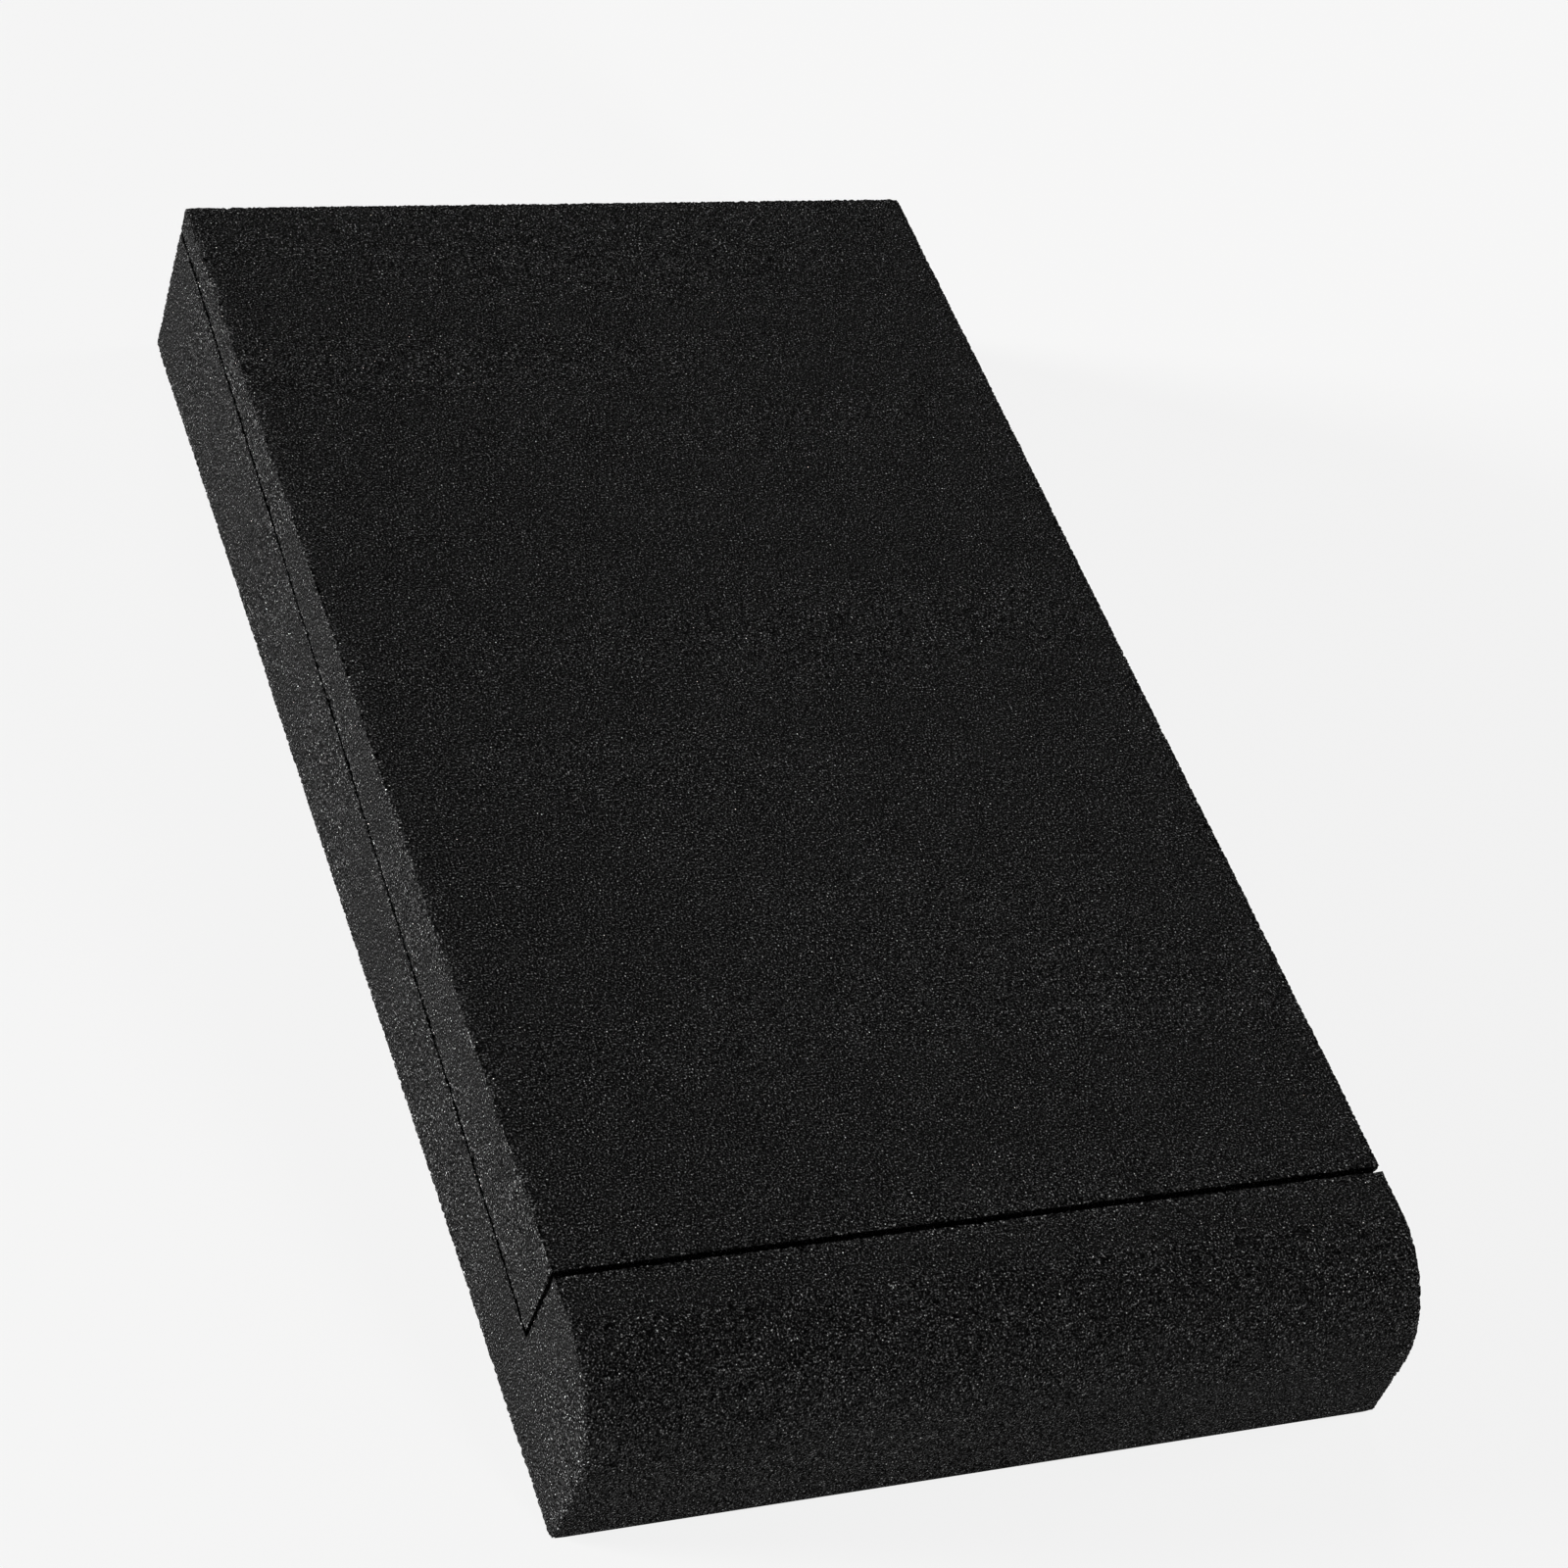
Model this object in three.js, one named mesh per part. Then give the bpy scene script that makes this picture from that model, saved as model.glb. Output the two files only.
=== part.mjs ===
// A speaker isolation pad in open-cell foam, in two pieces.
// The base pad has a bed that slopes down towards the front and ends at a raised lip with a rounded nose.
// The wedge insert lies loose on the bed, thick end against the lip, and brings the top back to level.
// Millimetres. +X runs across the width, +Y towards the rear and +Z up.
// The origin is the centre of the underside, so the pad stands on z = 0.

import * as THREE from 'three';

// Sizes of the base pad
const PAD_LENGTH = 300; // front of the lip to the rear end
const PAD_WIDTH = 165; // side to side, the same for both pieces
const BED_FRONT_HEIGHT = 19; // foam left under the front of the bed
const BED_RISE = 13.5; // how much higher the bed is at the rear than at the front
const LIP_DEPTH = 30.5; // front of the lip to the foot of its inner wall
const NOSE_RADIUS = 21; // round along the top front edge of the lip
const TOE_RADIUS = 3; // round along the bottom front edge of the lip

// Sizes of the wedge insert
const INSERT_REAR_THICKNESS = 6.2; // thin end of the wedge
const SEAT_CLEARANCE = 0.3; // height between the bed and the insert's underside
const LIP_CLEARANCE = 0.6; // gap between the lip's inner wall and the insert's thick end

// Fineness of the rounds and colour of the foam
const ARC_SEGMENTS = 24;
const FOAM_COLOUR = 0x202021;

// Places that follow from the sizes
const FRONT = -PAD_LENGTH / 2;
const REAR = PAD_LENGTH / 2;
const WALL_FOOT = FRONT + LIP_DEPTH;
const BED_SLOPE = BED_RISE / (PAD_LENGTH - LIP_DEPTH);

// Height of the bed at a distance y from the centre. The bed is flat and rises towards the rear.
function bedHeight(y) {
  return BED_FRONT_HEIGHT + BED_SLOPE * (y - WALL_FOOT);
}

// The seated insert's top is level with the lip's top.
const TOP_HEIGHT = bedHeight(REAR) + SEAT_CLEARANCE + INSERT_REAR_THICKNESS;

// A cut square to the bed leans towards the front as it rises. This gives its y at the top of the pad.
function squareCutTop(y, z) {
  return y - BED_SLOPE * (TOP_HEIGHT - z);
}

// Outline of the base pad seen from its side, as y and z.
function baseOutline() {
  const wallTop = squareCutTop(WALL_FOOT, BED_FRONT_HEIGHT);
  const noseRadius = Math.min(NOSE_RADIUS, wallTop - FRONT, TOP_HEIGHT - TOE_RADIUS);
  const outline = new THREE.Shape();
  outline.moveTo(REAR, 0);
  outline.lineTo(REAR, bedHeight(REAR));
  outline.lineTo(WALL_FOOT, BED_FRONT_HEIGHT);
  outline.lineTo(wallTop, TOP_HEIGHT);
  outline.absarc(FRONT + noseRadius, TOP_HEIGHT - noseRadius, noseRadius, Math.PI / 2, Math.PI, false);
  outline.absarc(FRONT + TOE_RADIUS, TOE_RADIUS, TOE_RADIUS, Math.PI, 1.5 * Math.PI, false);
  outline.closePath();
  return outline;
}

// Outline of the wedge insert seen from its side, set on the bed and against the lip.
function insertOutline() {
  const footY = WALL_FOOT + LIP_CLEARANCE;
  const footZ = bedHeight(footY) + SEAT_CLEARANCE;
  const outline = new THREE.Shape();
  outline.moveTo(footY, footZ);
  outline.lineTo(REAR, bedHeight(REAR) + SEAT_CLEARANCE);
  outline.lineTo(REAR, TOP_HEIGHT);
  outline.lineTo(squareCutTop(footY, footZ), TOP_HEIGHT);
  outline.closePath();
  return outline;
}

// One piece of foam: an outline cut straight through the whole width.
function foamPiece(name, outline) {
  const geometry = new THREE.ExtrudeGeometry(outline, {
    depth: PAD_WIDTH,
    bevelEnabled: false,
    curveSegments: ARC_SEGMENTS,
  });
  geometry.translate(0, 0, -PAD_WIDTH / 2);
  const foam = new THREE.MeshStandardMaterial({ color: FOAM_COLOUR, roughness: 1, metalness: 0 });
  const piece = new THREE.Mesh(geometry, foam);
  piece.name = name;
  // Turns the outline's y and z onto the pad's +Y and +Z, and the cut onto +X.
  piece.rotation.set(Math.PI / 2, Math.PI / 2, 0);
  return piece;
}

const pad = new THREE.Group();
pad.add(foamPiece('base_pad', baseOutline()));
pad.add(foamPiece('wedge_insert', insertOutline()));

export default pad;
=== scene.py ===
"""A speaker isolation pad in two pieces of open-cell foam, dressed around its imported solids.

The base pad has a sloping bed behind a rounded front lip, and the wedge insert lies loose on that bed.
Each piece is modelled again with softened, slightly ragged cut edges and the cells of the foam on its faces.
Everything is in metres: +X runs across the pad, +Y towards its rear and +Z up from the surface it stands on.
"""

import logging
import math
from dataclasses import dataclass, field
from enum import Enum

import bmesh
import bpy
import numpy as np
from mathutils import Matrix, Vector, noise

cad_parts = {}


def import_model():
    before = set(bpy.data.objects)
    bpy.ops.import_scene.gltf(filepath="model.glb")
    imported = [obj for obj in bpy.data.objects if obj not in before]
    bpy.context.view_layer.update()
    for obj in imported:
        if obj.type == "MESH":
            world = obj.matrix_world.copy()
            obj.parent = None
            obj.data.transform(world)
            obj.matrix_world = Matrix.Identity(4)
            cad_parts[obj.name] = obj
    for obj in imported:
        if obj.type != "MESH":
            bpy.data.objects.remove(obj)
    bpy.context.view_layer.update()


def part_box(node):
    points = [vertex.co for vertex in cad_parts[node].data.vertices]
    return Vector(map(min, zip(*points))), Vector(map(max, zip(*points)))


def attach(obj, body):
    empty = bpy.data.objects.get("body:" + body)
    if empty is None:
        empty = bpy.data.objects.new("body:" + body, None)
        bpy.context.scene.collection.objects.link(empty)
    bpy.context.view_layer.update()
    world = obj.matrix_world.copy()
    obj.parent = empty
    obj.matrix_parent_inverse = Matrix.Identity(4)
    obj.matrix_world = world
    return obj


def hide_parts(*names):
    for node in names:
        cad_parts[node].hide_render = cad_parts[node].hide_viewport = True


MM = 0.001
EDGE_LAYER = "cut_edge"
SAWN_LAYER = "sawn_side"
# Socket numbers of the Mix node where it mixes colours
MIX_FACTOR, MIX_A, MIX_B, MIX_RESULT = 0, 6, 7, 2
LOG = logging.getLogger("isolation_pad")


def linear(colour: str) -> tuple[float, float, float, float]:
    """Turns an sRGB colour into the linear values that shaders take.

    Args:
        colour: Six hex digits after a #.

    Returns:
        Linear red, green and blue, and a full alpha.
    """
    shares = [int(colour[i : i + 2], 16) / 255 for i in (1, 3, 5)]
    red, green, blue = (s / 12.92 if s <= 0.04045 else ((s + 0.055) / 1.055) ** 2.4 for s in shares)
    return red, green, blue, 1.0


def add_node(tree: bpy.types.NodeTree, kind: str, settings: dict, inputs: dict) -> bpy.types.Node:
    """Adds a node with its settings and links.

    Args:
        tree: The node tree that the node joins.
        kind: Blender's type name of the node.
        settings: Properties of the node, by name.
        inputs: A value or another node's output for each input, by name or number.

    Returns:
        The new node.
    """
    node = tree.nodes.new(kind)
    for name, value in settings.items():
        setattr(node, name, value)
    for name, value in inputs.items():
        if isinstance(value, bpy.types.NodeSocket):
            tree.links.new(value, node.inputs[name])
        else:
            node.inputs[name].default_value = value
    return node


class Cut(Enum):
    """How a face of the foam was cut, which sets the waves that the blade left on it."""

    CONTOUR = "blade stretched across the width and steered along the outline"
    CROSSCUT = "saw that trims the block to its width"


@dataclass(frozen=True)
class OpenCellFoam:
    """Open-cell flexible polyurethane foam, dyed black and cut with a blade.

    A cut opens the cells, so the eye meets a net of thin dull struts over holes, whose shade is painted dark.
    Most struts stay dim, and the few that lie across the light stand out. Now and then a knot where struts
    meet catches a painted glint. Here and there a window of a cell's wall is left whole and its glint is
    painted as a pale speck. Along the cut edges such specks are more common and the cells are painted paler,
    as painted light that comes into them from two faces. The struts are too thin to mirror anything, so the
    foam has no gloss of its own.

    The cells are drawn at about their real size. Real struts are some 0.05 mm thick, too fine to show, so
    they are drawn as soft ridges most of a cell wide.

    Attributes:
        dye: Colour of the dyed foam at a brightness of 1.
        window_glint: Colour of the painted glint of a window that was left whole.
        hole_shade_share: Brightness of the painted shade in the holes beside the struts.
        hole_shade_spread: How far the brightness of that painted shade reaches each way from 1.
        strut_spread: The same for struts that the contour blade cut.
        sawn_spread: The same for struts that the saw tore.
        glint_share: Brightness of the painted glints on the knots beside the struts.
        glint_spread: How far the brightness of those painted glints reaches each way from 1.
        window_share: Share of the knots that hold a window.
        edge_glint_share: How much larger that share is along cut edges, where the pale specks stand for
            painted light coming through the torn cells.
        edge_light_gain: How much paler the cells along cut edges are painted, as painted light that comes
            into them from two faces.
        cell: Size of a cell.
        strut_width: Width of a strut as a share of a cell.
        strut_twist: Length over which a strut turns out of the light.
        knot_cell: Distance between knots.
        knot_core: Radius of a knot's even middle as a share of that distance.
        knot_size: Radius of a knot as a share of that distance.
        mottle: Size of the clouds in the dye.
        mottle_detail: How many finer clouds lie in each cloud.
        mottle_gain: How much paler or darker the clouds are.
        noise_range: Values between which the noise patterns mostly lie.
        relief: How high a strut of brightness 1 stands.
        roughness: Roughness of the surface.
    """

    dye: str = "#191919"
    window_glint: str = "#b4b4b4"
    hole_shade_share: float = 0.06
    hole_shade_spread: float = 6.0
    strut_spread: float = 150.0
    sawn_spread: float = 500.0
    glint_share: float = 0.06
    glint_spread: float = 100.0
    window_share: float = 0.009
    edge_glint_share: float = 0.05
    edge_light_gain: float = 0.12
    cell: float = 0.45 * MM
    strut_width: float = 0.8
    strut_twist: float = 0.36 * MM
    knot_cell: float = 0.42 * MM
    knot_core: float = 0.1
    knot_size: float = 0.45
    mottle: float = 12 * MM
    mottle_detail: float = 3.0
    mottle_gain: float = 0.10
    noise_range: tuple[float, float] = (0.25, 0.75)
    relief: float = 0.02 * MM
    roughness: float = 0.95

    def material(self) -> bpy.types.Material:
        """Makes the foam's material.

        Returns:
            A material that reads Object coordinates and the piece's cut_edge and sawn_side attributes.
        """
        made = bpy.data.materials.new("open_cell_polyurethane_foam")
        made.use_nodes = True
        tree = made.node_tree
        tree.nodes.clear()
        place = add_node(tree, "ShaderNodeTexCoord", {}, {}).outputs["Object"]
        edge = add_node(tree, "ShaderNodeAttribute", {"attribute_name": EDGE_LAYER}, {}).outputs["Fac"]
        sawn = add_node(tree, "ShaderNodeAttribute", {"attribute_name": SAWN_LAYER}, {}).outputs["Fac"]
        struts = self.strut_net(tree, place, sawn)
        brightness, window_glint = self.holes_and_knots(tree, place, edge, struts)
        brightness = self.mottled(tree, place, edge, brightness)
        dyed = add_node(
            tree,
            "ShaderNodeVectorMath",
            {"operation": "SCALE"},
            {0: linear(self.dye)[:3], "Scale": brightness},
        ).outputs[0]
        # the windows that were left whole get their painted glint as a pale colour
        colour = add_node(
            tree,
            "ShaderNodeMix",
            {"data_type": "RGBA"},
            {MIX_FACTOR: window_glint, MIX_A: dyed, MIX_B: linear(self.window_glint)},
        ).outputs[MIX_RESULT]
        relief = add_node(tree, "ShaderNodeBump", {}, {"Distance": self.relief, "Height": struts})
        surface = add_node(
            tree,
            "ShaderNodeBsdfPrincipled",
            {},
            {
                "Base Color": colour,
                "Roughness": self.roughness,
                "Specular IOR Level": 0.0,
                "Normal": relief.outputs[0],
            },
        )
        add_node(tree, "ShaderNodeOutputMaterial", {}, {"Surface": surface.outputs[0]})
        return made

    @staticmethod
    def spread_out(
        tree: bpy.types.NodeTree,
        value: bpy.types.NodeSocket,
        low: float,
        high: float,
        spread: float | bpy.types.NodeSocket,
    ) -> bpy.types.NodeSocket:
        """Turns an even value into a brightness that is mostly low and now and then high.

        Args:
            tree: The material's node tree.
            value: The even value.
            low: The value that gives a brightness of 1 / spread.
            high: The value that gives a brightness of spread.
            spread: How far the brightness reaches each way from 1.

        Returns:
            The brightness.
        """
        power = add_node(
            tree,
            "ShaderNodeMapRange",
            {"clamp": False},
            {"Value": value, "From Min": low, "From Max": high, "To Min": -1.0, "To Max": 1.0},
        ).outputs[0]
        return add_node(tree, "ShaderNodeMath", {"operation": "POWER"}, {0: spread, 1: power}).outputs[0]

    def strut_net(
        self, tree: bpy.types.NodeTree, place: bpy.types.NodeSocket, sawn: bpy.types.NodeSocket
    ) -> bpy.types.NodeSocket:
        """Draws the net of struts, each lit as it happens to lie.

        Args:
            tree: The material's node tree.
            place: Object coordinates.
            sawn: Where the saw has torn the cells, from 0 to 1.

        Returns:
            The brightness of the struts, 0 in the holes between them.
        """
        walls = add_node(
            tree,
            "ShaderNodeTexVoronoi",
            {"feature": "DISTANCE_TO_EDGE"},
            {"Vector": place, "Scale": 1 / self.cell},
        ).outputs["Distance"]
        strut = add_node(
            tree,
            "ShaderNodeMapRange",
            {"interpolation_type": "SMOOTHSTEP"},
            {"Value": walls, "From Max": self.strut_width, "To Min": 1.0, "To Max": 0.0},
        ).outputs[0]
        twist = add_node(
            tree, "ShaderNodeTexNoise", {}, {"Vector": place, "Scale": 1 / self.strut_twist}
        ).outputs[0]
        spread = add_node(
            tree,
            "ShaderNodeMapRange",
            {},
            {"Value": sawn, "To Min": self.strut_spread, "To Max": self.sawn_spread},
        ).outputs[0]
        lit = self.spread_out(tree, twist, *self.noise_range, spread)
        return add_node(tree, "ShaderNodeMath", {"operation": "MULTIPLY"}, {0: strut, 1: lit}).outputs[0]

    def holes_and_knots(
        self,
        tree: bpy.types.NodeTree,
        place: bpy.types.NodeSocket,
        edge: bpy.types.NodeSocket,
        struts: bpy.types.NodeSocket,
    ) -> tuple[bpy.types.NodeSocket, bpy.types.NodeSocket]:
        """Adds the painted shade of the holes, the painted glints on the knots where struts meet, and the
        windows that were left whole, whose glint is painted.

        Args:
            tree: The material's node tree.
            place: Object coordinates.
            edge: How near a cut edge is, from 0 to 1.
            struts: The brightness of the struts.

        Returns:
            The brightness of struts, painted hole shade and painted knot glints together, and where the
            windows' painted glints are.
        """
        holes = add_node(
            tree, "ShaderNodeTexVoronoi", {"feature": "F1"}, {"Vector": place, "Scale": 1 / self.cell}
        )
        depth = add_node(tree, "ShaderNodeSeparateColor", {}, {"Color": holes.outputs["Color"]})
        # painted shade: the holes between the struts are drawn dark
        painted_hole_shade = self.spread_out(tree, depth.outputs["Red"], 0.0, 1.0, self.hole_shade_spread)
        knots = add_node(
            tree, "ShaderNodeTexVoronoi", {"feature": "F1"}, {"Vector": place, "Scale": 1 / self.knot_cell}
        )
        chance = add_node(tree, "ShaderNodeSeparateColor", {}, {"Color": knots.outputs["Color"]})
        # painted glints: now and then a knot is drawn bright, as if it caught the light
        lit = self.spread_out(tree, chance.outputs["Red"], 0.0, 1.0, self.glint_spread)
        middle = add_node(
            tree,
            "ShaderNodeMapRange",
            {"interpolation_type": "SMOOTHSTEP"},
            {
                "Value": knots.outputs["Distance"],
                "From Min": self.knot_core,
                "From Max": self.knot_size,
                "To Min": 1.0,
                "To Max": 0.0,
            },
        ).outputs[0]
        glint = add_node(tree, "ShaderNodeMath", {"operation": "MULTIPLY"}, {0: middle, 1: lit}).outputs[0]
        brightness = struts
        for share, part in ((self.hole_shade_share, painted_hole_shade), (self.glint_share, glint)):
            brightness = add_node(
                tree, "ShaderNodeMath", {"operation": "MULTIPLY_ADD"}, {0: share, 1: part, 2: brightness}
            ).outputs[0]
        # painted light: more pale specks along cut edges, as light coming through the torn cells
        luck = add_node(
            tree,
            "ShaderNodeMath",
            {"operation": "MULTIPLY_ADD"},
            {0: edge, 1: self.edge_glint_share, 2: chance.outputs["Green"]},
        ).outputs[0]
        whole = add_node(
            tree, "ShaderNodeMath", {"operation": "GREATER_THAN"}, {0: luck, 1: 1 - self.window_share}
        ).outputs[0]
        # where a window's painted glint shows as a pale speck
        window_glint = add_node(tree, "ShaderNodeMath", {"operation": "MULTIPLY"}, {0: middle, 1: whole}).outputs[0]
        return brightness, window_glint

    def mottled(
        self,
        tree: bpy.types.NodeTree,
        place: bpy.types.NodeSocket,
        edge: bpy.types.NodeSocket,
        brightness: bpy.types.NodeSocket,
    ) -> bpy.types.NodeSocket:
        """Adds the soft mottling of the dye and the painted light that makes the cells along cut edges paler.

        Args:
            tree: The material's node tree.
            place: Object coordinates.
            edge: How near a cut edge is, from 0 to 1.
            brightness: The brightness before this.

        Returns:
            The finished brightness.
        """
        cloud = add_node(
            tree,
            "ShaderNodeTexNoise",
            {},
            {"Vector": place, "Scale": 1 / self.mottle, "Detail": self.mottle_detail},
        ).outputs[0]
        dye = add_node(
            tree,
            "ShaderNodeMapRange",
            {},
            {
                "Value": cloud,
                "From Min": self.noise_range[0],
                "From Max": self.noise_range[1],
                "To Min": 1 - self.mottle_gain,
                "To Max": 1 + self.mottle_gain,
            },
        ).outputs[0]
        # painted light: the cells along cut edges are drawn paler, as light comes into them from two faces
        gain = add_node(
            tree, "ShaderNodeMath", {"operation": "MULTIPLY_ADD"}, {0: edge, 1: self.edge_light_gain, 2: dye}
        ).outputs[0]
        return add_node(
            tree, "ShaderNodeMath", {"operation": "MULTIPLY"}, {0: brightness, 1: gain}
        ).outputs[0]


@dataclass(frozen=True)
class PaleBoard:
    """White-painted board under the pad. Rolled matt paint is plain and keeps the pad's soft shadow.

    Attributes:
        paint: Colour of the paint.
        seen_white: Share of plain white that the camera sees in it.
        gloss: Specular level of the paint.
        roughness: Roughness of the paint.
    """

    paint: str = "#e6e6e4"
    seen_white: float = 0.85
    gloss: float = 0.1
    roughness: float = 0.9

    def material(self) -> bpy.types.Material:
        """Makes the board's material, which the camera sees as nearly white.

        Returns:
            A material whose paint lights the pad as plain pale paint does.
        """
        made = bpy.data.materials.new("white_painted_board")
        made.use_nodes = True
        tree = made.node_tree
        tree.nodes.clear()
        paint = add_node(
            tree,
            "ShaderNodeBsdfPrincipled",
            {},
            {
                "Base Color": linear(self.paint),
                "Roughness": self.roughness,
                "Specular IOR Level": self.gloss,
            },
        )
        white = add_node(tree, "ShaderNodeEmission", {}, {"Strength": 1.0})
        ray = add_node(tree, "ShaderNodeLightPath", {}, {})
        share = add_node(
            tree,
            "ShaderNodeMath",
            {"operation": "MULTIPLY"},
            {0: ray.outputs["Is Camera Ray"], 1: self.seen_white},
        )
        mixed = add_node(
            tree,
            "ShaderNodeMixShader",
            {},
            {0: share.outputs[0], 1: paint.outputs[0], 2: white.outputs[0]},
        )
        add_node(tree, "ShaderNodeOutputMaterial", {}, {"Surface": mixed.outputs[0]})
        return made


@dataclass
class FoamPiece:
    """One piece of foam: an outline cut straight through the width of the pad.

    Attributes:
        node: Name of the solid that the piece replaces.
        low: Low corner of the solid's box.
        high: High corner of the solid's box.
        edge_round: Radius of the softened cut edges.
        edge_steps: How many flats make up that radius.
        seam_wear: How far the seam has worn back at its mouth, along the bed and at the lip.
        seam_reach: How deep into the pad that wear goes.
        seam_touch: How near a point lies to a face of the seam to count as on it.
        slice_step: Size of the grid on the faces.
        slice_touch: How near a cut of the grid may come to a corner that is already there.
        edge_band: Distances from the outer faces at which the grid has its closer cuts.
        fine_reach: Width of the finely divided band along the cut edges.
        fine_cuts: How many times a side of the grid is cut in that band.
        rag_depth: Depth of the torn cells along the cut edges.
        rag_fade: How quickly that depth fades away from an edge.
        rag_length: Distance between torn cells.
        wave_depth: Depth of the waves that the blade leaves.
        wave_length: Distance between those waves.
        chatter_stretch: How much longer the waves are across the pad, where the blade was stretched.
        side_lean: Least share of sideways lean in the normal of a sawn side.
        corner_touch: How near an edge lies to a corner of the outline to be rounded with it.
        sharp_angle: Angle past which an outer edge counts as a cut edge.
        crease_angle: Angle past which an edge isn't shaded smooth.
    """

    node: str
    low: Vector
    high: Vector
    edge_round: float = 0.35 * MM
    edge_steps: int = 2
    seam_wear: tuple[float, float] = (0.45 * MM, 0.2 * MM)
    seam_reach: float = 6 * MM
    seam_touch: float = 0.05 * MM
    slice_step: float = 2.5 * MM
    slice_touch: float = 0.05 * MM
    edge_band: tuple[float, ...] = (1.3 * MM, 2.1 * MM)
    fine_reach: float = 1.6 * MM
    fine_cuts: int = 5
    rag_depth: float = 1.1 * MM
    rag_fade: int = 4
    rag_length: float = 0.75 * MM
    wave_depth: float = 0.25 * MM
    wave_length: float = 26 * MM
    chatter_stretch: float = 6.0
    side_lean: float = 0.7
    corner_touch: float = 0.001 * MM
    sharp_angle: float = math.radians(30)
    crease_angle: float = math.radians(50)

    def outline(self) -> list[tuple[float, float]]:
        """Returns the y and z of the outline's corners, seen from the side of the pad."""
        raise NotImplementedError

    def seam(self) -> list[tuple[float, float]]:
        """Returns the corners of the outline that run along the seam with the other piece, in order."""
        raise NotImplementedError

    def round_outline(self, mesh: bmesh.types.BMesh) -> None:
        """Rounds the corners of the outline that have a radius of their own."""

    def block(self) -> bmesh.types.BMesh:
        """Extrudes the outline through the width.

        Returns:
            The piece with sharp cut edges.
        """
        mesh = bmesh.new()
        corners = [mesh.verts.new((self.low.x, y, z)) for y, z in self.outline()]
        side = mesh.faces.new(corners)
        grown = bmesh.ops.extrude_face_region(mesh, geom=[side])["geom"]
        far_side = [part for part in grown if isinstance(part, bmesh.types.BMVert)]
        bmesh.ops.translate(mesh, verts=far_side, vec=(self.high.x - self.low.x, 0, 0))
        bmesh.ops.recalc_face_normals(mesh, faces=mesh.faces[:])
        self.round_outline(mesh)
        return mesh

    def round_edge(self, mesh: bmesh.types.BMesh, y: float, z: float, radius: float, steps: int) -> None:
        """Rounds the long edge that crosses the pad at one corner of the outline.

        Args:
            mesh: The piece.
            y: The corner's y.
            z: The corner's z.
            radius: The radius of the round.
            steps: How many flats make up the round.
        """
        corner = Vector((0, y, z))
        picked = [
            edge
            for edge in mesh.edges
            if all((Vector((0, v.co.y, v.co.z)) - corner).length < self.corner_touch for v in edge.verts)
        ]
        self.bevel(mesh, picked, radius, steps)

    @staticmethod
    def bevel(mesh: bmesh.types.BMesh, edges: list, offset: float, steps: int) -> None:
        """Bevels some edges with a round profile.

        Args:
            mesh: The piece.
            edges: The edges.
            offset: The radius of the bevel.
            steps: How many flats make up the bevel.
        """
        bmesh.ops.bevel(
            mesh,
            geom=edges,
            offset=offset,
            offset_type="OFFSET",
            segments=steps,
            profile=0.5,
            affect="EDGES",
            material=-1,
            clamp_overlap=False,
        )

    def cut_edges(self, mesh: bmesh.types.BMesh) -> list[bmesh.types.BMEdge]:
        """Finds the edges where two cuts meet at an outer corner.

        Args:
            mesh: The piece with sharp cut edges.

        Returns:
            Those edges.
        """
        return [
            edge
            for edge in mesh.edges
            if edge.is_manifold and edge.calc_face_angle_signed() > self.sharp_angle
        ]

    def slice_up(self, mesh: bmesh.types.BMesh) -> None:
        """Cuts the faces into a grid, with closer cuts beside the outer faces of the piece.

        Args:
            mesh: The piece.
        """
        for axis in (2, 0, 1):
            low, high = self.low[axis], self.high[axis]
            count = max(2, round((high - low) / self.slice_step))
            places = [low + (high - low) * step / count for step in range(2, count - 1)]
            places += [low + gap for gap in self.edge_band]
            places += [high - gap for gap in self.edge_band]
            normal = Vector([float(axis == i) for i in range(3)])
            for place in places:
                bmesh.ops.bisect_plane(
                    mesh,
                    geom=mesh.verts[:] + mesh.edges[:] + mesh.faces[:],
                    dist=self.slice_touch,
                    plane_co=normal * place,
                    plane_no=normal,
                )

    @staticmethod
    def distances(points: np.ndarray, starts: np.ndarray, ends: np.ndarray) -> np.ndarray:
        """Measures how far points are from the nearest cut edge.

        Args:
            points: The points, one in each row.
            starts: Where each edge starts.
            ends: Where each edge ends.

        Returns:
            One distance for each point.
        """
        nearest = np.full(len(points), np.inf)
        for start, end in zip(starts, ends):
            along = end - start
            share = np.clip((points - start) @ along / (along @ along), 0, 1)
            gap = np.linalg.norm(points - start - share[:, None] * along, axis=1)
            nearest = np.minimum(nearest, gap)
        return nearest

    def refine(self, mesh: bmesh.types.BMesh, starts: np.ndarray, ends: np.ndarray) -> None:
        """Divides the long sides of the faces beside the cut edges, so that the edges can be ragged.

        Args:
            mesh: The piece, cut into its grid.
            starts: Where each cut edge starts.
            ends: Where each cut edge ends.
        """
        near = self.distances(np.array([v.co for v in mesh.verts]), starts, ends) < self.fine_reach
        mesh.verts.index_update()
        long_edges = [
            edge
            for edge in mesh.edges
            if near[edge.verts[0].index]
            and near[edge.verts[1].index]
            and edge.calc_length() > self.slice_step / 2
        ]
        bmesh.ops.subdivide_edges(mesh, edges=long_edges, cuts=self.fine_cuts, use_grid_fill=True)
        many_sided = [face for face in mesh.faces if len(face.verts) > 4]
        bmesh.ops.triangulate(mesh, faces=many_sided)

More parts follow.
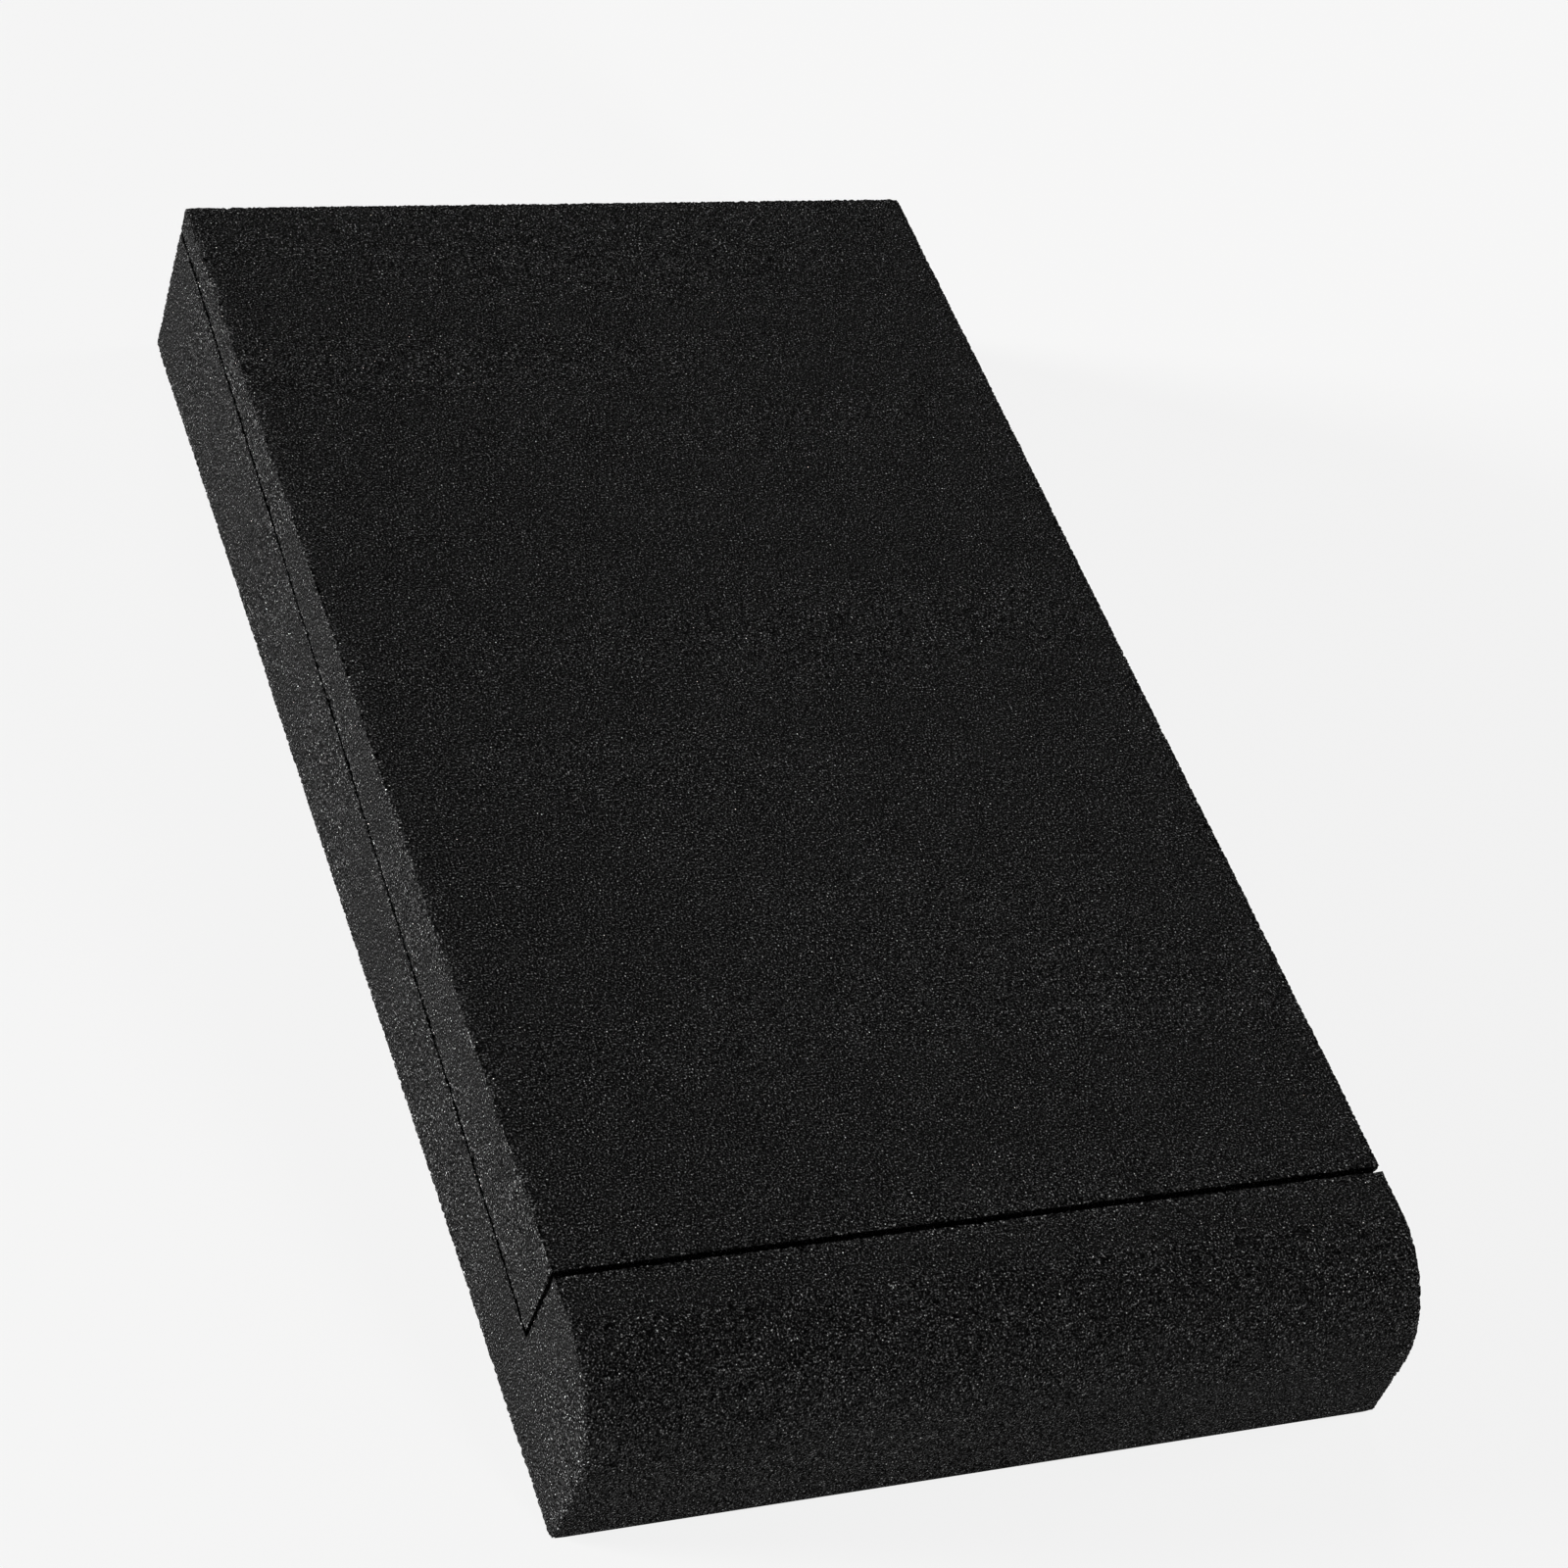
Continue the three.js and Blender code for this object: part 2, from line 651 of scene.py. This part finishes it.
    def wave(self, place: Vector, cut: Cut) -> float:
        """Works out how deep the blade's waves are at a place.

        Args:
            place: The place on the piece.
            cut: How the face there was cut.

        Returns:
            The depth, from 0 to 1.
        """
        stretch = self.chatter_stretch if cut is Cut.CONTOUR else 1.0
        spot = Vector((place.x / stretch, place.y, place.z)) / self.wave_length
        return 0.5 + 0.5 * max(-1.0, min(1.0, noise.noise(spot)))

    def seam_mouth(self) -> tuple[np.ndarray, np.ndarray]:
        """Finds the lines along which the seam comes out of the pad.

        Returns:
            Where the lines start and where they end.
        """
        corners = self.seam()
        lines = [((self.low.x, *corner), (self.high.x, *corner)) for corner in (corners[0], corners[-1])]
        for x in (self.low.x, self.high.x):
            lines += [((x, *start), (x, *end)) for start, end in zip(corners, corners[1:])]
        lines = np.array(lines)
        return lines[:, 0], lines[:, 1]

    def worn(self, points: np.ndarray) -> np.ndarray:
        """Measures how much the faces of the seam have worn back near its mouth.

        Args:
            points: The points of the piece, one in each row.

        Returns:
            One depth for each point, 0 away from the seam.
        """
        corners = np.array([(0, *corner) for corner in self.seam()])
        share = np.clip(1 - self.distances(points, *self.seam_mouth()) / self.seam_reach, 0, 1)
        depths = np.zeros(len(points))
        for start, end, wear in zip(corners, corners[1:], self.seam_wear):
            on_face = self.distances(points * (0, 1, 1), start[None], end[None]) < self.seam_touch
            depths = np.maximum(depths, np.where(on_face, wear * share, 0))
        return depths

    def roughen(self, mesh: bmesh.types.BMesh, starts: np.ndarray, ends: np.ndarray) -> None:
        """Moves the surface inwards by the blade's waves, the wear of the seam and the torn cells of edges.

        Args:
            mesh: The piece, sliced and refined.
            starts: Where each cut edge starts.
            ends: Where each cut edge ends.
        """
        mesh.normal_update()
        points = np.array([v.co for v in mesh.verts])
        gaps = self.distances(points, starts, ends)
        for name in (EDGE_LAYER, SAWN_LAYER):
            mesh.verts.layers.float.new(name)
        edge_layer, sawn_layer = (mesh.verts.layers.float[name] for name in (EDGE_LAYER, SAWN_LAYER))
        for vertex, gap, worn in zip(mesh.verts, gaps, self.worn(points)):
            nearness = max(0.0, 1 - gap / (2 * self.fine_reach))
            cut = Cut.CROSSCUT if abs(vertex.normal.x) > self.side_lean else Cut.CONTOUR
            vertex[edge_layer] = nearness
            vertex[sawn_layer] = float(cut is Cut.CROSSCUT)
            torn = abs(noise.noise(vertex.co / self.rag_length)) * nearness**self.rag_fade
            depth = self.wave_depth * self.wave(vertex.co, cut) + self.rag_depth * torn + worn
            vertex.co -= vertex.normal * depth

    def build(self, foam: bpy.types.Material) -> bpy.types.Object:
        """Models the piece and puts it in the scene in place of its solid.

        Args:
            foam: The foam's material.

        Returns:
            The finished piece.
        """
        mesh = self.block()
        edges = self.cut_edges(mesh)
        starts = np.array([edge.verts[0].co for edge in edges])
        ends = np.array([edge.verts[1].co for edge in edges])
        self.bevel(mesh, edges, self.edge_round, self.edge_steps)
        self.slice_up(mesh)
        self.refine(mesh, starts, ends)
        self.roughen(mesh, starts, ends)
        for face in mesh.faces:
            face.smooth = True
        for edge in mesh.edges:
            edge.smooth = not edge.is_manifold or edge.calc_face_angle() < self.crease_angle
        data = bpy.data.meshes.new(f"{self.node}_foam")
        mesh.to_mesh(data)
        mesh.free()
        data.materials.append(foam)
        piece = bpy.data.objects.new(f"{self.node}_foam", data)
        bpy.context.scene.collection.objects.link(piece)
        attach(piece, "root")
        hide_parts(self.node)
        return piece


@dataclass
class BasePad(FoamPiece):
    """The base: a bed that slopes down to the front, and a raised lip with a rounded nose.

    Attributes:
        bed_front_height: Foam left under the front of the bed.
        bed_rear_height: Height of the bed at the rear end.
        lip_depth: Front of the lip to the foot of its inner wall.
        nose_radius: Round along the top front edge of the lip.
        nose_steps: How many flats make up the nose.
        toe_radius: Round along the bottom front edge of the lip.
        toe_steps: How many flats make up the toe.
    """

    bed_front_height: float = 19 * MM
    bed_rear_height: float = 32.5 * MM
    lip_depth: float = 30.5 * MM
    nose_radius: float = 21 * MM
    nose_steps: int = 24
    toe_radius: float = 3 * MM
    toe_steps: int = 6

    @property
    def bed_slope(self) -> float:
        """How far the bed rises for each metre towards the rear."""
        length = self.high.y - self.low.y
        return (self.bed_rear_height - self.bed_front_height) / (length - self.lip_depth)

    def outline(self) -> list[tuple[float, float]]:
        """Lays out the base from the rear of its underside round over the top.

        Returns:
            The y and z of each corner.
        """
        foot = self.low.y + self.lip_depth
        top = foot - self.bed_slope * (self.high.z - self.bed_front_height)
        return [
            (self.high.y, self.low.z),
            (self.high.y, self.bed_rear_height),
            (foot, self.bed_front_height),
            (top, self.high.z),
            (self.low.y, self.high.z),
            (self.low.y, self.low.z),
        ]

    def seam(self) -> list[tuple[float, float]]:
        """Returns the bed's rear end, the notch and the top of the lip's inner wall."""
        return self.outline()[1:4]

    def round_outline(self, mesh: bmesh.types.BMesh) -> None:
        """Rounds the nose and the toe of the lip."""
        self.round_edge(mesh, self.low.y, self.high.z, self.nose_radius, self.nose_steps)
        self.round_edge(mesh, self.low.y, self.low.z, self.toe_radius, self.toe_steps)


@dataclass
class WedgeInsert(FoamPiece):
    """The loose wedge on the bed, with its thick end square to the bed and against the lip.

    Attributes:
        bed_slope: How far the bed rises for each metre towards the rear.
        rear_thickness: Thickness of the thin end.
    """

    bed_slope: float = 0.0
    rear_thickness: float = 6.2 * MM

    def outline(self) -> list[tuple[float, float]]:
        """Lays out the insert from the foot of its thick end round over the top.

        Returns:
            The y and z of each corner.
        """
        lean = self.bed_slope * (self.high.z - self.low.z)
        return [
            (self.low.y + lean, self.low.z),
            (self.high.y, self.high.z - self.rear_thickness),
            (self.high.y, self.high.z),
            (self.low.y, self.high.z),
        ]

    def seam(self) -> list[tuple[float, float]]:
        """Returns the underside's rear end, its front end and the top of the thick end."""
        foot, rear, _, top = self.outline()
        return [rear, foot, top]


@dataclass
class IsolationPad:
    """The whole pad, as the base and the insert that lies on it.

    Attributes:
        foam: The foam that both pieces are cut from.
    """

    foam: OpenCellFoam = field(default_factory=OpenCellFoam)

    def build(self) -> list[bpy.types.Object]:
        """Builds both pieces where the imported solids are.

        Returns:
            The two pieces of foam.
        """
        material = self.foam.material()
        base = BasePad("base_pad", *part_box("base_pad"))
        insert = WedgeInsert("wedge_insert", *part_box("wedge_insert"), bed_slope=base.bed_slope)
        return [base.build(material), insert.build(material)]


def direction(azimuth: float, elevation: float) -> Vector:
    """Returns the direction from the pad to a place around it.

    Args:
        azimuth: Degrees from the front of the pad round to its right.
        elevation: Degrees up from the floor.

    Returns:
        The direction, with a length of 1.
    """
    turn, rise = math.radians(azimuth), math.radians(elevation)
    return Vector((math.sin(turn) * math.cos(rise), -math.cos(turn) * math.cos(rise), math.sin(rise)))


@dataclass(frozen=True)
class SoftBox:
    """A soft box so far away that it lights all of the floor alike.

    Attributes:
        name: The lamp's name.
        azimuth: Degrees from the front of the pad round to its right.
        elevation: Degrees up from the floor.
        level: How brightly it lights a face turned to it, where 1 is a full exposure.
        spread: Degrees across its face, seen from the pad.
    """

    name: str
    azimuth: float
    elevation: float
    level: float
    spread: float = 15.0

    def light(self) -> bpy.types.Object:
        """Sets the soft box up in the scene, turned to the pad.

        Returns:
            The lamp.
        """
        data = bpy.data.lights.new(self.name, "SUN")
        data.energy = self.level * math.pi
        data.angle = math.radians(self.spread)
        lamp = bpy.data.objects.new(self.name, data)
        lamp.rotation_euler = direction(self.azimuth, self.elevation).to_track_quat("Z", "Y").to_euler()
        bpy.context.scene.collection.objects.link(lamp)
        return lamp


@dataclass
class Studio:
    """A plain pale floor, soft lamps and the camera.

    Attributes:
        floor_width: Side of the square floor.
        world_level: Brightness of the even light from all round.
        world_seen: Brightness of the backdrop that the camera sees.
        image_width: Width of the picture in pixels.
        focal_pixels: Focal length in pixels of that width.
        sensor_width: Width of the camera's sensor, in millimetres as Blender takes it.
        camera_near: Distance at which the camera starts to see.
        camera_place: Place of the camera.
        camera_azimuth: Degrees from the front of the pad round to its right.
        camera_elevation: Degrees that the camera looks down.
        camera_roll: Degrees that the camera is turned round its line of sight.
        soft_boxes: The lamps.
    """

    floor_width: float = 40.0
    world_level: float = 0.05
    world_seen: float = 0.895
    image_width: float = 1600.0
    focal_pixels: float = 4098.5
    sensor_width: float = 36.0
    camera_near: float = 0.01
    camera_place: Vector = field(default_factory=lambda: Vector((-0.3167, -0.4639, 0.5828)))
    camera_azimuth: float = -35.02
    camera_elevation: float = 44.92
    camera_roll: float = 21.91
    soft_boxes: tuple[SoftBox, ...] = (
        SoftBox("left_soft_box", azimuth=-105, elevation=8, level=2.35),
        SoftBox("right_soft_box", azimuth=95, elevation=7, level=0.7),
        SoftBox("rear_soft_box", azimuth=170, elevation=7, level=0.45),
        SoftBox("front_soft_box", azimuth=20, elevation=7, level=0.85),
    )

    def lay_floor(self) -> None:
        """Lays the floor just under the pad."""
        mesh = bmesh.new()
        bmesh.ops.create_grid(mesh, x_segments=1, y_segments=1, size=self.floor_width / 2)
        data = bpy.data.meshes.new("floor")
        mesh.to_mesh(data)
        mesh.free()
        data.materials.append(PaleBoard().material())
        floor = bpy.data.objects.new("floor", data)
        bpy.context.scene.collection.objects.link(floor)

    def light(self) -> None:
        """Sets up the soft boxes and the world's even light."""
        for soft_box in self.soft_boxes:
            soft_box.light()
        world = bpy.data.worlds.new("studio")
        world.use_nodes = True
        tree = world.node_tree
        tree.nodes.clear()
        ray = add_node(tree, "ShaderNodeLightPath", {}, {})
        level = add_node(
            tree,
            "ShaderNodeMapRange",
            {},
            {"Value": ray.outputs["Is Camera Ray"], "To Min": self.world_level, "To Max": self.world_seen},
        )
        sky = add_node(tree, "ShaderNodeBackground", {}, {"Strength": level.outputs[0]})
        sky.inputs["Color"].default_value = (1, 1, 1, 1)
        add_node(tree, "ShaderNodeOutputWorld", {}, {"Surface": sky.outputs[0]})
        bpy.context.scene.world = world

    def set_camera(self) -> None:
        """Puts the camera at the viewing angle of the picture."""
        data = bpy.data.cameras.new("camera")
        data.sensor_width = self.sensor_width
        data.lens = self.focal_pixels / self.image_width * self.sensor_width
        data.clip_start = self.camera_near
        level = direction(self.camera_azimuth, self.camera_elevation).to_track_quat("Z", "Y").to_matrix()
        tilt = Matrix.Rotation(math.radians(self.camera_roll), 3, "Z")
        camera = bpy.data.objects.new("camera", data)
        camera.matrix_world = Matrix.Translation(self.camera_place) @ (level @ tilt).to_4x4()
        bpy.context.scene.collection.objects.link(camera)
        bpy.context.scene.camera = camera

    def build(self) -> None:
        """Sets up the floor, the light and the camera."""
        self.set_camera()
        self.lay_floor()
        self.light()
        bpy.context.scene.view_settings.view_transform = "Standard"


def main() -> None:
    """Builds the studio and the pad."""
    logging.basicConfig(level=logging.INFO, format="%(name)s %(message)s")
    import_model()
    Studio().build()
    for piece in IsolationPad().build():
        LOG.info("%s: %d faces", piece.name, len(piece.data.polygons))


if __name__ == "__main__":
    main()
